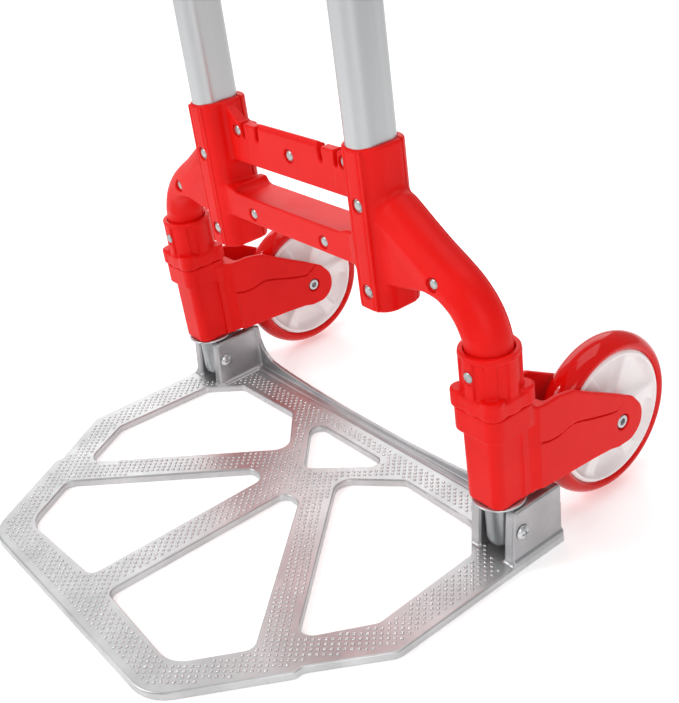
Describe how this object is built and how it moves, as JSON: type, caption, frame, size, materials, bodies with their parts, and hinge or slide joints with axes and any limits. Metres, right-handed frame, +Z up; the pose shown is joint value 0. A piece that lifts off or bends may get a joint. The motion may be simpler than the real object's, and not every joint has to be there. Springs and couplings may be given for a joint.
{
  "type": "folding hand truck",
  "caption": "Folding hand truck: cast toe plate hinged under a plastic cross frame, wheels in swing-in forks, and a telescoping handle on oval tubes.",
  "frame": {"origin": "on the floor, centred under the footprint of the truck", "axes": "+X across the truck to the right-hand leg, +Y from the load side to the wheels, +Z up"},
  "size_m": [0.4005, 0.4104, 1.0001],
  "materials": {
    "red_plastic": "satin, fine moulded grain",
    "grip_plastic": "matt",
    "tyre_rubber": "glossy cast polyurethane",
    "rim_plastic": "semi-gloss",
    "cast_alloy": "as cast, silver",
    "steel": "zinc plated",
    "tube_aluminium": "satin anodised",
    "rivet_aluminium": "bright"
  },
  "bodies": {
    "frame": {"frame_front_shell": "red_plastic", "frame_back_shell": "red_plastic", "top_yoke": "red_plastic", "outer_tube_right": "tube_aluminium", "outer_tube_left": "tube_aluminium", "collar_right": "red_plastic", "collar_left": "red_plastic", "leg_post_right": "steel", "leg_post_left": "steel", "leg_washer_right": "steel", "leg_washer_left": "steel", "rivet_strip_upper_right": "rivet_aluminium", "rivet_strip_upper_left": "rivet_aluminium", "rivet_strip_lower_right": "rivet_aluminium", "rivet_strip_lower_left": "rivet_aluminium", "rivet_web_right": "rivet_aluminium", "rivet_web_left": "rivet_aluminium", "rivet_lower_bar_right": "rivet_aluminium", "rivet_lower_bar_left": "rivet_aluminium", "rivet_gusset_right": "rivet_aluminium", "rivet_gusset_left": "rivet_aluminium", "rivet_centre": "rivet_aluminium", "rivet_collar_right": "rivet_aluminium", "rivet_collar_left": "rivet_aluminium", "yoke_screw_right": "steel", "yoke_screw_left": "steel"},
    "toe_plate": {"toe_plate": "cast_alloy", "hinge_bolt_right": "steel", "hinge_bolt_left": "steel", "hinge_nut_right": "steel", "hinge_nut_left": "steel"},
    "fork_right": {"wheel_fork_right": "red_plastic", "axle_barrel_right": "steel", "axle_screw_right": "steel"},
    "fork_left": {"wheel_fork_left": "red_plastic", "axle_barrel_left": "steel", "axle_screw_left": "steel"},
    "wheel_right": {"tyre_right": "tyre_rubber", "rim_right": "rim_plastic", "axle_bush_right": "steel"},
    "wheel_left": {"tyre_left": "tyre_rubber", "rim_left": "rim_plastic", "axle_bush_left": "steel"},
    "handle": {"inner_tube_right": "tube_aluminium", "inner_tube_left": "tube_aluminium", "glide_right": "grip_plastic", "glide_left": "grip_plastic", "grip_front_half": "grip_plastic", "grip_back_half": "grip_plastic"},
    "release": {"release_button": "red_plastic"},
    "pin_right": {"lock_pin_right": "steel"},
    "pin_left": {"lock_pin_left": "steel"}
  },
  "joints": [
    {"name": "toe_plate_fold", "type": "hinge", "parent": "frame", "child": "toe_plate", "pos_m": [0, 0.0415, 0.029], "axis": [-1, 0, 0], "range_deg": [0, 90]},
    {"name": "fork_right_swing", "type": "hinge", "parent": "frame", "child": "fork_right", "pos_m": [0.177, 0.0415, 0.08], "axis": [0, 0, 1], "range_deg": [0, 90]},
    {"name": "fork_left_swing", "type": "hinge", "parent": "frame", "child": "fork_left", "pos_m": [-0.177, 0.0415, 0.08], "axis": [0, 0, -1], "range_deg": [0, 90]},
    {"name": "wheel_right_spin", "type": "hinge", "parent": "fork_right", "child": "wheel_right", "pos_m": [0.1756, 0.1455, 0.0618], "axis": [1, 0, 0], "continuous": true},
    {"name": "wheel_left_spin", "type": "hinge", "parent": "fork_left", "child": "wheel_left", "pos_m": [-0.1756, 0.1455, 0.0618], "axis": [1, 0, 0], "continuous": true},
    {"name": "handle_slide", "type": "slide", "parent": "frame", "child": "handle", "axis": [0, 0, 1], "range_m": [-0.31, 0]},
    {"name": "release_press", "type": "slide", "parent": "handle", "child": "release", "axis": [0, 0, 1], "range_m": [0, 0.006], "stiffness_N_per_m": 600, "springref_m": -0.003},
    {"name": "pin_right_draw", "type": "slide", "parent": "handle", "child": "pin_right", "axis": [0, -1, 0], "range_m": [0, 0.006]},
    {"name": "pin_left_draw", "type": "slide", "parent": "handle", "child": "pin_left", "axis": [0, -1, 0], "range_m": [0, 0.006]}
  ],
  "couplings": [
    {"joint": "fork_right_swing", "follows": "toe_plate_fold", "ratio": 1},
    {"joint": "fork_left_swing", "follows": "toe_plate_fold", "ratio": 1},
    {"joint": "pin_right_draw", "follows": "release_press", "ratio": 1},
    {"joint": "pin_left_draw", "follows": "release_press", "ratio": 1}
  ]
}
